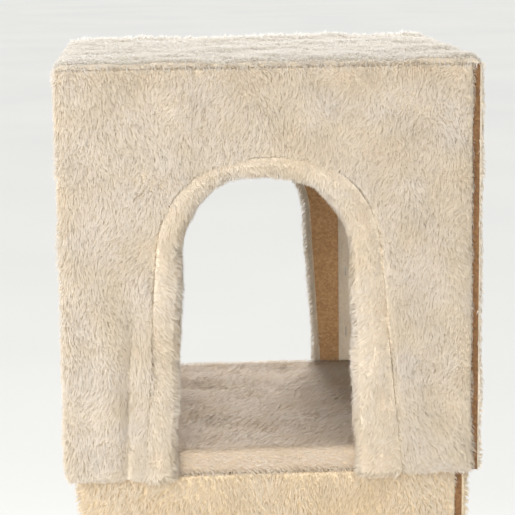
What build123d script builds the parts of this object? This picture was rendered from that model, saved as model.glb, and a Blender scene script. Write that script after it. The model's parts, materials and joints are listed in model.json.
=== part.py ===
"""Cat tree: two plush-covered cabins, one on the other, on four sisal posts and a covered base.

Units are millimetres. +Z is up, the cabins' doorways run along Y with the main ones facing -Y,
and the origin is on the floor at the centre of the footprint.
"""

import math
import os
from collections import namedtuple

from build123d import *

# Boards, plush and general fits
BOARD = 15.0  # thickness of every cabin board
PILE = 8.0  # thickness of the plush that covers the outside
FLOOR_PILE = 10.0  # thickness of the plush on a cabin's floor
LINING = 3.0  # thickness of the fleece inside a cabin
CORNER_R = 6.0  # rounding of the covers' outer corners
SIDE_GAP = 4.0  # bare strip between the front cover and the right cover

# Doorways
BINDING_BAND = 18.0  # width of the roll of plush round a doorway, on the outer face
BINDING_PROUD = 2.0  # how far the roll stands out from the cover
BINDING_JAMB = 9.0  # thickness of the roll inside the doorway
CROWN_POWER = 2.4  # 2 is an ellipse, more is squarer
CROWN_STEPS = 12
SILL_PLAY = 2.0  # between the sill's plush and the roll at the sill's level
DOORWAY_X = -6.0  # the front doorways are centred on the front cover, not on the whole width
REAR_DOORWAY_X = -11.5  # puts the upper one's right edge where the photo does; its left is unseen

Doorway = namedtuple("Doorway", "x half_sill half_spring spring rise")
Cabin = namedtuple("Cabin", "prefix width depth height front rear lining_edge lift top_cover")
UPPER_FRONT = Doorway(x=DOORWAY_X, half_sill=98.0, half_spring=88.0, spring=208.0, rise=90.0)
UPPER_REAR = Doorway(x=REAR_DOORWAY_X, half_sill=90.0, half_spring=79.0, spring=185.0, rise=87.0)
LOWER_FRONT = Doorway(x=DOORWAY_X, half_sill=87.0, half_spring=79.0, spring=166.0, rise=76.0)
LOWER_REAR = Doorway(x=REAR_DOORWAY_X, half_sill=83.0, half_spring=75.0, spring=160.0, rise=72.0)
UPPER_LINING_EDGE = 104.5  # from the front doorways' middle to the fleece's edge
LOWER_LINING_EDGE = 95.0

# Base and posts
BASE_WIDTH = 484.0
BASE_DEPTH = 484.0
BASE_BOARD = 18.0
BASE_CORNER_R = 20.0
FOOT_HEIGHT = 10.0
FOOT_R = 20.0
FOOT_INSET = 52.0
HEM_WIDTH = 25.0
HEM_THICKNESS = 3.0
POST_HEIGHT = 400.0
POST_X = 122.0
POST_Y = 118.0
TUBE_R = 37.0
TUBE_WALL = 5.0
PLUG_THICKNESS = 25.0
ROPE = 6.0  # thickness of the sisal rope

# Fasteners
SCREW_R = 2.0
SCREW_HEAD_R = 4.0
SCREW_HEAD = 2.5
SCREW_LENGTH = 35.0
BOLT_R = 4.0
BOLT_HEAD_R = 7.0
BOLT_HEAD = 4.0
WASHER_R = 10.0
WASHER = 1.5
NUT_R = 7.0
NUT_HEIGHT = 6.0
POST_BOLT_REACH = 20.0  # how far a post bolt enters its plug
STAPLE_CROWN = 10.0
STAPLE_WIRE = 1.0
STAPLE_LEG = 8.0
STAPLE_INSET = 8.0  # from the fleece's edge

# Levels
BASE_TOP = FOOT_HEIGHT + BASE_BOARD
LOWER_LIFT = BASE_TOP + POST_HEIGHT
LOWER_HEIGHT = 330.0
UPPER_LIFT = LOWER_LIFT + LOWER_HEIGHT
UPPER_HEIGHT = 392.0

LOWER = Cabin("lower", 364.0, 356.0, LOWER_HEIGHT, LOWER_FRONT, LOWER_REAR,
              LOWER_LINING_EDGE, LOWER_LIFT, False)
UPPER = Cabin("upper", 390.0, 380.0, UPPER_HEIGHT, UPPER_FRONT, UPPER_REAR,
              UPPER_LINING_EDGE, UPPER_LIFT, True)
STACK_BOLT_X = 130.0
STACK_BOLT_Y = 115.0

POST_PLACES = [
    ("front_left", -POST_X, -POST_Y),
    ("front_right", POST_X, -POST_Y),
    ("rear_left", -POST_X, POST_Y),
    ("rear_right", POST_X, POST_Y),
]

nodes = {}


def block(x0, x1, y0, y1, z0, z1):
    """A box between two opposite corners."""
    centre = Pos((x0 + x1) / 2, (y0 + y1) / 2, (z0 + z1) / 2)
    return centre * Box(x1 - x0, y1 - y0, z1 - z0)


def rod(r, x, y, z0, z1):
    """An upright cylinder from z0 to z1."""
    return Pos(x, y, (z0 + z1) / 2) * Cylinder(r, z1 - z0)


def group(solids):
    """Several separate solids as one shape."""
    return Compound(children=list(solids))


def cut(shape, tools):
    """The shape with every tool taken out of it."""
    for tool in tools:
        shape = shape - tool
    return shape


def touching(shape, tools):
    """The tools whose boxes meet the shape's box."""
    a = shape.bounding_box()
    found = []
    for tool in tools:
        b = tool.bounding_box()
        apart = (
            a.min.X >= b.max.X or b.min.X >= a.max.X
            or a.min.Y >= b.max.Y or b.min.Y >= a.max.Y
            or a.min.Z >= b.max.Z or b.min.Z >= a.max.Z
        )
        if not apart:
            found.append(tool)
    return found


def doorway_prism(door, grow, y0, y1):
    """A doorway's outline, grown outwards by an amount, run along Y from y0 to y1."""
    half_sill = door.half_sill + grow
    half_spring = door.half_spring + grow
    rise = door.rise + grow
    crown = []
    for step in range(CROWN_STEPS + 1):
        turn = math.pi * step / CROWN_STEPS
        across = math.copysign(abs(math.cos(turn)) ** (2 / CROWN_POWER), math.cos(turn))
        up = math.sin(turn) ** (2 / CROWN_POWER) if 0 < step < CROWN_STEPS else 0.0
        crown.append((half_spring * across, door.spring + rise * up))
    lean = door.half_sill - door.half_spring
    ends = [(-lean, door.spring), (-lean, -door.spring)]
    arc = Spline(*crown, tangents=ends)
    legs = Polyline(crown[-1], (-half_sill, 0), (half_sill, 0), crown[0])
    face = Plane.XZ.offset(-y1) * Pos(door.x, 0, 0) * make_face(Curve() + [arc, legs])
    return extrude(face, amount=y1 - y0)


def wood_screw(x, y, z, direction):
    """A countersunk screw whose head is flush at a point and whose shank runs along direction."""
    shank = Pos(0, 0, SCREW_LENGTH / 2) * Cylinder(SCREW_R, SCREW_LENGTH)
    head = Pos(0, 0, SCREW_HEAD / 2) * Cone(SCREW_HEAD_R, SCREW_R, SCREW_HEAD)
    return Plane(origin=(x, y, z), z_dir=direction) * (shank + head)


def staple(x, y, z, into, along):
    """A staple lying on a surface at a point, with legs going along into."""
    half = STAPLE_CROWN / 2
    wire = STAPLE_WIRE
    crown = block(-half, half, -wire / 2, wire / 2, -wire, 0)
    legs = [
        block(-half, -half + wire, -wire / 2, wire / 2, 0, STAPLE_LEG),
        block(half - wire, half, -wire / 2, wire / 2, 0, STAPLE_LEG),
    ]
    shape = crown + legs[0] + legs[1]
    return Plane(origin=(x, y, z), x_dir=along, z_dir=into) * shape


def cabin_screws(c):
    """The screws that join a cabin's six boards."""
    w, d, h = c.width / 2, c.depth / 2, c.height
    heights = (45.0, h / 2, h - 60.0)
    depths = (-d / 2, d / 2)
    found = []
    for z in heights:
        found.append(wood_screw(-w + BOARD / 2, -d, z, (0, 1, 0)))
        found.append(wood_screw(-w + BOARD / 2, d, z, (0, -1, 0)))
        found.append(wood_screw(w, -d + BOARD / 2, z, (-1, 0, 0)))
        found.append(wood_screw(w, d - BOARD / 2, z, (-1, 0, 0)))
    for y in depths:
        found.append(wood_screw(-w + BOARD / 2, y, h, (0, 0, -1)))
        found.append(wood_screw(w - BOARD / 2, y, h, (0, 0, -1)))
        found.append(wood_screw(-w, y, BOARD / 2, (1, 0, 0)))
        found.append(wood_screw(w, y, BOARD / 2, (-1, 0, 0)))
    return found


def cabin_staples(c):
    """The staples along the fleece's four upright edges."""
    d = c.depth / 2 - BOARD - LINING
    found = []
    for side in (-1, 1):
        x = DOORWAY_X + side * (c.lining_edge + STAPLE_INSET)
        for level in range(5):
            z = BOARD + FLOOR_PILE + 35.0 + level * (c.height - 110.0) / 4
            found.append(staple(x, d, z, (0, 1, 0), (0, 0, 1)))
            found.append(staple(x, -d, z, (0, -1, 0), (0, 0, 1)))
    return found


def cabin_boards(c):
    """A cabin's six boards, before the fasteners' holes."""
    w, d, h = c.width / 2, c.depth / 2, c.height
    top = h - BOARD
    front = block(-w, w - BOARD, -d, -d + BOARD, 0, top)
    rear = block(-w, w - BOARD, d - BOARD, d, 0, top)
    return {
        "front_board": front - doorway_prism(c.front, 0, -d - 1, -d + BOARD + 1),
        "rear_board": rear - doorway_prism(c.rear, 0, d - BOARD - 1, d + 1),
        "left_board": block(-w, -w + BOARD, -d + BOARD, d - BOARD, 0, top),
        "right_board": block(w - BOARD, w, -d, d, 0, top),
        "roof_board": block(-w, w, -d, d, top, h),
        "floor_board": block(-w + BOARD, w - BOARD, -d + BOARD, d - BOARD, 0, BOARD),
    }


def round_upright(shape, corners):
    """The shape with the upright edges nearest to the given XY corners rounded."""
    edges = shape.edges().filter_by(Axis.Z)
    chosen = []
    for x, y in corners:
        chosen.append(min(edges, key=lambda e: math.hypot(e.center().X - x, e.center().Y - y)))
    return fillet(chosen, CORNER_R)


def cabin_covers(c):
    """The plush on a cabin's four walls, and on its roof where it has one there."""
    w, d, h = c.width / 2, c.depth / 2, c.height
    out_w, out_d = w + PILE, d + PILE
    front = block(-out_w, w - SIDE_GAP, -out_d, -d, 0, h)
    front = round_upright(front, [(-out_w, -out_d)])
    rear = block(-out_w, out_w, d, out_d, 0, h)
    rear = round_upright(rear, [(-out_w, out_d), (out_w, out_d)])
    covers = {
        "front_cover": front - doorway_prism(c.front, BINDING_BAND, -out_d - 1, -d + 1),
        "rear_cover": rear - doorway_prism(c.rear, BINDING_BAND, d - 1, out_d + 1),
        "left_cover": block(-out_w, -w, -d, d, 0, h),
        "right_cover": block(w, out_w, -out_d + 2, d, 0, h),
    }
    if c.top_cover:
        sheet = block(-out_w, out_w, -out_d, out_d, h, h + PILE)
        rim = sheet.faces().sort_by(Axis.Z)[-1].edges()
        covers["top_cover"] = fillet(rim, CORNER_R)
    return covers


def doorway_binding(door, face, out):
    """The roll of plush round a doorway: a band on the outer face, and the lined edge.

    The board's outer face lies at Y = face, and out is the sign of the way out.
    """
    band_y = sorted((face, face + out * (PILE + BINDING_PROUD)))
    edge_y = sorted((face, face - out * BOARD))
    band = doorway_prism(door, BINDING_BAND, *band_y)
    band = band - doorway_prism(door, -BINDING_JAMB, band_y[0] - 1, band_y[1] + 1)
    edge = doorway_prism(door, 0, *edge_y)
    edge = edge - doorway_prism(door, -BINDING_JAMB, edge_y[0] - 1, edge_y[1] + 1)
    return band + edge


def cabin_floor_cover(c):
    """The plush on a cabin's floor, turned down over the floor's edge in both doorways."""
    w, d = c.width / 2 - BOARD, c.depth / 2 - BOARD
    top = BOARD + FLOOR_PILE
    shape = block(-w, w, -d, d, BOARD, top)
    for door, y0, y1 in ((c.front, -d - PILE, -d), (c.rear, d, d + PILE)):
        half = door.half_sill - BINDING_JAMB - SILL_PLAY
        shape += block(door.x - half, door.x + half, y0, y1, 0, top)
    return shape


def cabin_lining(c, side):
    """Fleece on one side wall, lapped on to the front and rear boards."""
    w, d = c.width / 2 - BOARD, c.depth / 2 - BOARD
    low, high = BOARD + FLOOR_PILE, c.height - BOARD
    edge_x = DOORWAY_X + side * c.lining_edge
    wall_x = sorted((side * (w - LINING), side * w))
    lap_x = sorted((edge_x, side * w))
    wall = block(*wall_x, -d, d, low, high)
    front = block(*lap_x, -d, -d + LINING, low, high)
    rear = block(*lap_x, d - LINING, d, low, high)
    return wall + front + rear


def add_cabin(c, bolts):
    """Adds a cabin's nodes, with room in its boards and floor plush for the given bolts."""
    lift = Pos(0, 0, c.lift)
    screws = [lift * s for s in cabin_screws(c)]
    staples = [lift * s for s in cabin_staples(c)]
    for name, board in cabin_boards(c).items():
        board = lift * board
        nodes[f"{c.prefix}_{name}"] = cut(board, touching(board, screws + staples + bolts))
    for name, cover in cabin_covers(c).items():
        nodes[f"{c.prefix}_{name}"] = lift * cover
    half = c.depth / 2
    nodes[f"{c.prefix}_front_binding"] = lift * doorway_binding(c.front, -half, out=-1)
    nodes[f"{c.prefix}_rear_binding"] = lift * doorway_binding(c.rear, half, out=1)
    floor_cover = lift * cabin_floor_cover(c)
    nodes[f"{c.prefix}_floor_cover"] = cut(floor_cover, touching(floor_cover, bolts))
    for name, side in (("left", -1), ("right", 1)):
        lining = lift * cabin_lining(c, side)
        nodes[f"{c.prefix}_{name}_lining"] = cut(lining, touching(lining, staples))
    nodes[f"{c.prefix}_screws"] = group(screws)
    nodes[f"{c.prefix}_staples"] = group(staples)


def bolt(x, y, z, reach, up):
    """A pan-head bolt: its shank starts at z and runs reach up or down, its head the other way."""
    way = 1 if up else -1
    shank = rod(BOLT_R, x, y, *sorted((z, z + way * reach)))
    head_z = sorted((z - way * WASHER, z - way * (WASHER + BOLT_HEAD)))
    neck = rod(BOLT_R, x, y, *sorted((z, z - way * WASHER)))
    return shank + neck + rod(BOLT_HEAD_R, x, y, *head_z)


def washer(x, y, z, up):
    """The washer between a bolt's head and the surface at z."""
    z0, z1 = sorted((z, z - WASHER if up else z + WASHER))
    return rod(WASHER_R, x, y, z0, z1) - rod(BOLT_R, x, y, z0 - 1, z1 + 1)


def hex_nut(x, y, z):
    """A nut hanging under a surface at z."""
    blank = extrude(Pos(x, y, z - NUT_HEIGHT) * RegularPolygon(NUT_R, 6), amount=NUT_HEIGHT)
    return blank - rod(BOLT_R, x, y, z - NUT_HEIGHT - 1, z + 1)


def base_board():
    """The board that the posts stand on, before holes."""
    w, d = BASE_WIDTH / 2, BASE_DEPTH / 2
    board = block(-w, w, -d, d, FOOT_HEIGHT, BASE_TOP)
    return fillet(board.edges().filter_by(Axis.Z), BASE_CORNER_R)


def base_cover():
    """Plush over the base board's top and edges, with a thin hem turned under it."""
    w, d = BASE_WIDTH / 2 + PILE, BASE_DEPTH / 2 + PILE
    low = FOOT_HEIGHT - HEM_THICKNESS
    outer = block(-w, w, -d, d, low, BASE_TOP + PILE)
    outer = fillet(outer.edges().filter_by(Axis.Z), BASE_CORNER_R + PILE)
    outer = fillet(outer.faces().sort_by(Axis.Z)[-1].edges(), CORNER_R)
    inner_w, inner_d = BASE_WIDTH / 2 - HEM_WIDTH, BASE_DEPTH / 2 - HEM_WIDTH
    window = block(-inner_w, inner_w, -inner_d, inner_d, low - 1, FOOT_HEIGHT)
    window = fillet(window.edges().filter_by(Axis.Z), BASE_CORNER_R)
    cover = outer - window - base_board()
    for _, x, y in POST_PLACES:
        cover = cover - rod(TUBE_R, x, y, BASE_TOP, BASE_TOP + PILE + 1)
    return cover


def base_staples():
    """Staples through the hem under the base."""
    z = FOOT_HEIGHT - HEM_THICKNESS
    w, d = BASE_WIDTH / 2 - HEM_WIDTH / 2, BASE_DEPTH / 2 - HEM_WIDTH / 2
    found = []
    for along in (-150.0, -75.0, 0.0, 75.0, 150.0):
        for side in (-1, 1):
            found.append(staple(along, side * d, z, (0, 0, 1), (1, 0, 0)))
            found.append(staple(side * w, along, z, (0, 0, 1), (0, 1, 0)))
    return found


def feet_places():
    """The centres of the four feet."""
    x, y = BASE_WIDTH / 2 - FOOT_INSET, BASE_DEPTH / 2 - FOOT_INSET
    return [(-x, -y), (x, -y), (-x, y), (x, y)]


def foot(x, y):
    """A round foot with a chamfered lower rim."""
    body = rod(FOOT_R, x, y, 0, FOOT_HEIGHT)
    return chamfer(body.edges().sort_by(Axis.Z)[0], 1.5)


def foot_screw(x, y):
    """A short screw that holds a foot, with its head sunk below the foot's face."""
    z0 = 3.0
    head = Pos(x, y, z0 + SCREW_HEAD / 2) * Cone(SCREW_HEAD_R, SCREW_R, SCREW_HEAD)
    return head + rod(SCREW_R, x, y, z0, BASE_TOP - 4.0)


def add_base(post_bolts, washers):
    """Adds the base board, its plush, feet and fasteners."""
    feet = []
    foot_screws = []
    for x, y in feet_places():
        screw = foot_screw(x, y)
        sink = rod(SCREW_HEAD_R, x, y, -1, 3.0)
        feet.append(foot(x, y) - sink - screw)
        foot_screws.append(screw)
    staples = base_staples()
    board = base_board()
    nodes["base_board"] = cut(board, post_bolts + foot_screws + staples)
    cover = base_cover()
    nodes["base_cover"] = cut(cover, touching(cover, staples))
    nodes["base_feet"] = group(feet)
    nodes["foot_screws"] = group(foot_screws)
    nodes["base_staples"] = group(staples)
    nodes["post_washers"] = group(washers)


def add_posts(bolts):
    """Adds each post's cardboard tube, end plugs and sisal winding."""
    top = BASE_TOP + POST_HEIGHT
    bottom_plugs = []
    top_plugs = []
    for name, x, y in POST_PLACES:
        hollow = rod(TUBE_R - TUBE_WALL, x, y, BASE_TOP - 1, top + 1)
        nodes[f"post_tube_{name}"] = rod(TUBE_R, x, y, BASE_TOP, top) - hollow
        winding = rod(TUBE_R + ROPE, x, y, BASE_TOP + PILE, top)
        nodes[f"sisal_{name}"] = winding - rod(TUBE_R, x, y, BASE_TOP, top + 1)
        plug = rod(TUBE_R - TUBE_WALL, x, y, BASE_TOP, BASE_TOP + PLUG_THICKNESS)
        bottom_plugs.append(cut(plug, touching(plug, bolts)))
        plug = rod(TUBE_R - TUBE_WALL, x, y, top - PLUG_THICKNESS, top)
        top_plugs.append(cut(plug, touching(plug, bolts)))
    nodes["post_bottom_plugs"] = group(bottom_plugs)
    nodes["post_top_plugs"] = group(top_plugs)


def build():
    """Makes every node."""
    low_bolts, high_bolts, washers = [], [], []
    for _, x, y in POST_PLACES:
        low_bolts.append(bolt(x, y, FOOT_HEIGHT, BASE_BOARD + POST_BOLT_REACH, up=True))
        washers.append(washer(x, y, FOOT_HEIGHT, up=True))
        floor = LOWER_LIFT + BOARD
        high_bolts.append(bolt(x, y, floor, BOARD + POST_BOLT_REACH, up=False))
        washers.append(washer(x, y, floor, up=False))
    stack_bolts, stack_washers, stack_nuts = [], [], []
    for x in (-STACK_BOLT_X, STACK_BOLT_X):
        for y in (-STACK_BOLT_Y, STACK_BOLT_Y):
            floor = UPPER_LIFT + BOARD
            under = UPPER_LIFT - BOARD
            reach = 2 * BOARD + NUT_HEIGHT + 3.0
            stack_bolts.append(bolt(x, y, floor, reach, up=False))
            stack_washers.append(washer(x, y, floor, up=False))
            stack_nuts.append(hex_nut(x, y, under))
    add_base(low_bolts, washers)
    add_posts(low_bolts + high_bolts)
    add_cabin(LOWER, high_bolts + stack_bolts + washers)
    add_cabin(UPPER, stack_bolts + stack_washers)
    nodes["post_bottom_bolts"] = group(low_bolts)
    nodes["post_top_bolts"] = group(high_bolts)
    nodes["cabin_bolts"] = group(stack_bolts)
    nodes["cabin_washers"] = group(stack_washers)
    nodes["cabin_nuts"] = group(stack_nuts)


build()
os.makedirs("parts", exist_ok=True)
for node, shape in nodes.items():
    export_step(shape, f"parts/{node}.step")
print(len(nodes), "nodes")
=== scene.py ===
"""Cat tree: two plush cabins on four sisal posts and a covered base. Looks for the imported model.

Lengths are metres. Heights inside a cabin are measured from the cabin's own bottom.
"""

import json
import math
from collections import namedtuple

import bmesh
import bpy
import numpy as np
from mathutils import Matrix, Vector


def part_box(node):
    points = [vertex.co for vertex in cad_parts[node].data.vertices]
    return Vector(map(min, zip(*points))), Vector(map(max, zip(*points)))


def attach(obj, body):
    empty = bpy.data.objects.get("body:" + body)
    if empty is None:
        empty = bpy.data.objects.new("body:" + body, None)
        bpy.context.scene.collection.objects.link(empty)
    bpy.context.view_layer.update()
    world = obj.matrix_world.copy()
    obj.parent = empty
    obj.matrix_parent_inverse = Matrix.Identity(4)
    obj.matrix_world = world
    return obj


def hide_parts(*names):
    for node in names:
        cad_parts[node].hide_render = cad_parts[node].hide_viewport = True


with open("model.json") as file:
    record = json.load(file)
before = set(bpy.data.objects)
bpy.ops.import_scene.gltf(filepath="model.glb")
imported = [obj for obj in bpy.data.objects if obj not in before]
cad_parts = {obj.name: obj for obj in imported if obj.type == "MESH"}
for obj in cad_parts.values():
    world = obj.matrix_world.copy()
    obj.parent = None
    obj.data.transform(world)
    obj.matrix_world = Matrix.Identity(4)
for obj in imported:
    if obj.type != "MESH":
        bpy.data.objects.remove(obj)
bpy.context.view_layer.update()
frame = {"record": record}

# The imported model's dimensions
BOARD = 0.015
PILE = 0.008  # the plush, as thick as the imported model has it
SIDE_GAP = 0.004
BAND = 0.018  # from a doorway's cut edge to the seam round it
CROWN_POWER = 2.4
DOORWAY_X = -0.006
REAR_DOORWAY_X = -0.0115
POST_X = 0.122
POST_Y = 0.118
TUBE_R = 0.037
ROPE = 0.006
BASE_BOTTOM = 0.010
BASE_TOP = 0.028
BASE_HALF = 0.242
BASE_CORNER = 0.020
HEM = 0.025

Door = namedtuple("Door", "x half_sill half_spring spring rise")
Cabin = namedtuple("Cabin", "name width depth lift height front rear lining")
UPPER = Cabin("upper", 0.390, 0.380, 0.758, 0.392,
              Door(DOORWAY_X, 0.098, 0.088, 0.208, 0.090),
              Door(REAR_DOORWAY_X, 0.090, 0.079, 0.185, 0.087), 0.1045)
LOWER = Cabin("lower", 0.364, 0.356, 0.428, 0.330,
              Door(DOORWAY_X, 0.087, 0.079, 0.166, 0.076),
              Door(REAR_DOORWAY_X, 0.083, 0.075, 0.160, 0.072), 0.095)
CREASE_LOW_X = -0.1415  # the crease left of the upper front doorway, at its foot
CREASE_HIGH_X = -0.1345
CREASE_TOP = 0.175

# Plush
SKIN = 0.0035  # backing and packed fibre, under the loose ends of the pile
END_SKIN = SKIN + 0.0012  # the same on the front and rear walls
LOOSE = 0.0045  # left to the pile's loose ends at a cabin's outer faces
RIM = 0.007  # rounding of the plush at a cabin's corners
FLOOR_SKIN = 0.0072
SILL_GAP = 0.0078  # room for the roll beside the floor plush's turned-down sill
STITCH = 0.0045
PILE_LENGTH = 0.0105
# Roots to the square metre and the blades' width: close up, further off, out of sight
PLUSH_ROOTS, PLUSH_BLADE = (720000, 300000, 130000), (0.0006, 0.0009, 0.0014)
ROLL_ROOTS, ROLL_BLADE = (700000, 350000, 150000), (0.00065, 0.0009, 0.0014)
THREAD_FROM = 0.135  # below this the upper front seam's left leg is lost in the fur


# ---------------------------------------------------------------- camera

def aim_camera():
    """The camera, at the photograph's viewing angle."""
    yaw, pitch, roll = (math.radians(v) for v in (3.267, 10.079, -0.779))
    ahead = np.array((math.sin(yaw) * math.cos(pitch), math.cos(yaw) * math.cos(pitch),
                      -math.sin(pitch)))
    right = np.array((math.cos(yaw), -math.sin(yaw), 0.0))
    up = np.cross(right, ahead)
    x_axis = math.cos(roll) * right + math.sin(roll) * up
    y_axis = -math.sin(roll) * right + math.cos(roll) * up
    camera = bpy.data.objects.new("camera", bpy.data.cameras.new("camera"))
    bpy.context.collection.objects.link(camera)
    camera.data.sensor_width = 36.0
    camera.data.lens = 126.4
    camera.data.clip_start = 0.05
    camera.data.clip_end = 200.0
    turn = np.stack((x_axis, y_axis, -ahead), axis=1)
    camera.matrix_world = Matrix.Translation((-0.1107, -1.863, 1.269)) @ Matrix(
        turn.tolist()).to_4x4()
    bpy.context.scene.camera = camera


# ---------------------------------------------------------------- materials

def linear(*rgb):
    """An sRGB colour, 0 to 255, as the linear colour that a shader takes."""
    value = [v / 255 for v in rgb]
    return tuple(v / 12.92 if v <= 0.04045 else ((v + 0.055) / 1.055) ** 2.4
                 for v in value) + (1.0,)


class Paint:
    """A node material that is being put together."""

    def __init__(self, name):
        self.material = bpy.data.materials.new(name)
        self.material.use_nodes = True
        self.nodes = self.material.node_tree.nodes
        self.links = self.material.node_tree.links
        self.nodes.clear()

    def add(self, kind, inputs=None, **settings):
        """A new node, with values or other nodes' sockets for its inputs."""
        node = self.nodes.new("ShaderNode" + kind)
        for key, value in settings.items():
            setattr(node, key, value)
        for key, value in (inputs or {}).items():
            socket = node.inputs[key]
            if isinstance(value, bpy.types.NodeSocket):
                self.links.new(value, socket)
            else:
                socket.default_value = value
        return node

    def place(self, scale=(1, 1, 1)):
        """The object's own coordinates, scaled along each axis."""
        where = self.add("TexCoord").outputs["Object"]
        return self.add("Mapping", {"Vector": where, "Scale": scale}).outputs[0]

    def noise(self, scale, detail=3.0, rough=0.5, at=None):
        inputs = {"Vector": at or self.place(), "Scale": scale, "Detail": detail,
                  "Roughness": rough}
        return self.add("TexNoise", inputs).outputs["Fac"]

    def ramp(self, value, stops):
        """Colours along a value: (position, sRGB colour) pairs."""
        node = self.add("ValToRGB", {"Fac": value})
        points = node.color_ramp.elements
        while len(points) < len(stops):
            points.new(0.5)
        for point, (position, colour) in zip(points, stops):
            point.position = position
            point.color = linear(*colour)
        return node.outputs["Color"]

    def spread(self, value, low, high, to_low=0.0, to_high=1.0):
        """The value's range from low to high, mapped on to another range."""
        inputs = {"Value": value, "From Min": low, "From Max": high,
                  "To Min": to_low, "To Max": to_high}
        return self.add("MapRange", inputs).outputs["Result"]

    def math(self, operation, a, b):
        return self.add("Math", {0: a, 1: b}, operation=operation).outputs[0]

    def mix(self, share, a, b, blend="MIX"):
        node = self.add("Mix", {0: share, 6: a, 7: b}, data_type="RGBA", blend_type=blend)
        return node.outputs[2]

    def shade(self, colour, value):
        """The colour made darker or lighter by a value round 1."""
        grey = self.add("CombineColor", {0: value, 1: value, 2: value}).outputs[0]
        return self.mix(1.0, colour, grey, "MULTIPLY")

    def bump(self, height, distance, strength=1.0):
        inputs = {"Height": height, "Distance": distance, "Strength": strength}
        return self.add("Bump", inputs).outputs[0]

    def surface(self, colour, normal=None, roughness=0.8, sheen=0.0, specular=0.5, **values):
        """The principled shader with these values."""
        inputs = {"Base Color": colour, "Roughness": roughness, "Sheen Weight": sheen,
                  "Specular IOR Level": specular}
        if normal is not None:
            inputs["Normal"] = normal
        inputs.update(values)
        return self.add("BsdfPrincipled", inputs).outputs[0]

    def finish(self, shader):
        self.add("OutputMaterial", {"Surface": shader})
        return self.material


def paint_pile(name, root, middle, tip, patch, patches=16.0, glow=0.5):
    """Loose fibres: darker at the root, paler at the tip, with darker, yellower patches of painted
    shade where the nap lies apart.
    """
    p = Paint(name)
    along = p.add("Attribute", attribute_name="tip").outputs["Fac"]
    own = p.add("Attribute", attribute_name="own").outputs["Fac"]
    colour = p.ramp(along, [(0.0, root), (0.45, middle),
                            (1.0, tip)])
    wide = p.spread(p.noise(patches, 3.0, 0.55), 0.42, 0.68)
    # Painted shade: wide, darker and yellower patches mixed into the fibres' colour.
    colour = p.mix(p.math("MULTIPLY", wide, 0.65), colour, linear(*patch))
    colour = p.shade(colour, p.spread(own, 0.0, 1.0, 0.94, 1.03))
    body = p.surface(colour, roughness=0.75, sheen=0.25, specular=0.2,
                     **{"Sheen Roughness": 0.45})
    through = p.add("BsdfTranslucent", {"Color": colour}).outputs[0]
    both = p.add("MixShader", {0: glow, 1: body, 2: through}).outputs[0]
    return p.finish(both)


def paint_backing(name, dark, light):
    """The packed fibre under the loose pile."""
    p = Paint(name)
    fine = p.noise(900.0, 2.0, 0.6)
    wide = p.noise(22.0, 3.0, 0.5)
    colour = p.ramp(p.math("ADD", p.math("MULTIPLY", fine, 0.6), p.math("MULTIPLY", wide, 0.4)),
                    [(0.3, dark), (0.7, light)])
    return p.finish(p.surface(colour, p.bump(fine, 0.0015), 0.9, sheen=0.2, specular=0.1))


def paint_thread(name):
    """Sewing thread, twisted, a little darker than the plush."""
    p = Paint(name)
    twist = p.noise(1400.0, 2.0, 0.6)
    colour = p.ramp(twist, [(0.3, (196, 175, 143)), (0.7, (219, 201, 170))])
    return p.finish(p.surface(colour, p.bump(twist, 0.0003), 0.7, sheen=0.1))


def paint_fleece(name):
    """Thin brushed fleece, with a nap of small tufts over a knit."""
    p = Paint(name)
    tufts = p.noise(420.0, 4.0, 0.7)
    worn = p.noise(14.0, 3.0, 0.5)
    colour = p.ramp(tufts, [(0.25, (232, 215, 187)), (0.75, (250, 240, 223))])
    colour = p.shade(colour, p.spread(worn, 0.3, 0.7, 0.88, 1.06))
    height = p.math("ADD", tufts, p.math("MULTIPLY", p.noise(1500.0, 2.0), 0.5))
    return p.finish(p.surface(colour, p.bump(height, 0.0012), 0.92, sheen=0.35, specular=0.15))


def paint_board(name, dark, middle, light, speck):
    """Bare particle board: pressed chips of several browns, with a few dark ones."""
    p = Paint(name)
    at = p.place()
    chips = p.add("TexVoronoi", {"Vector": at, "Scale": 480.0, "Randomness": 1.0})
    chip = p.add("SeparateColor", {0: chips.outputs["Color"]}).outputs[0]
    cloud = p.noise(9.0, 5.0, 0.6, at)
    grain = p.noise(700.0, 3.0, 0.6, at)
    colour = p.ramp(chip, [(0.0, dark), (0.5, middle),
                           (1.0, light)])
    colour = p.shade(colour, p.spread(cloud, 0.3, 0.7, 0.82, 1.12))
    specks = p.spread(p.noise(150.0, 2.0, 0.7, at), 0.66, 0.74)
    colour = p.mix(p.math("MULTIPLY", specks, 0.6), colour, linear(*speck))
    height = p.math("ADD", p.math("MULTIPLY", chips.outputs["Distance"], 0.4), grain)
    return p.finish(p.surface(colour, p.bump(height, 0.0003, 0.6), 0.78, specular=0.25))


def paint_cardboard(name):
    """Spiral-wound cardboard, with fine fibres and the winding's faint edges."""
    p = Paint(name)
    fibres = p.noise(600.0, 4.0, 0.7, p.place((1, 1, 0.2)))
    turns = p.add("TexWave", {"Vector": p.place(), "Scale": 3.5, "Distortion": 0.3},
                  bands_direction="Z").outputs["Fac"]
    colour = p.ramp(fibres, [(0.2, (150, 118, 82)), (0.8, (186, 152, 112))])
    colour = p.shade(colour, p.spread(turns, 0.0, 0.06, 0.86, 1.0))
    return p.finish(p.surface(colour, p.bump(fibres, 0.0003), 0.85))


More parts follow.
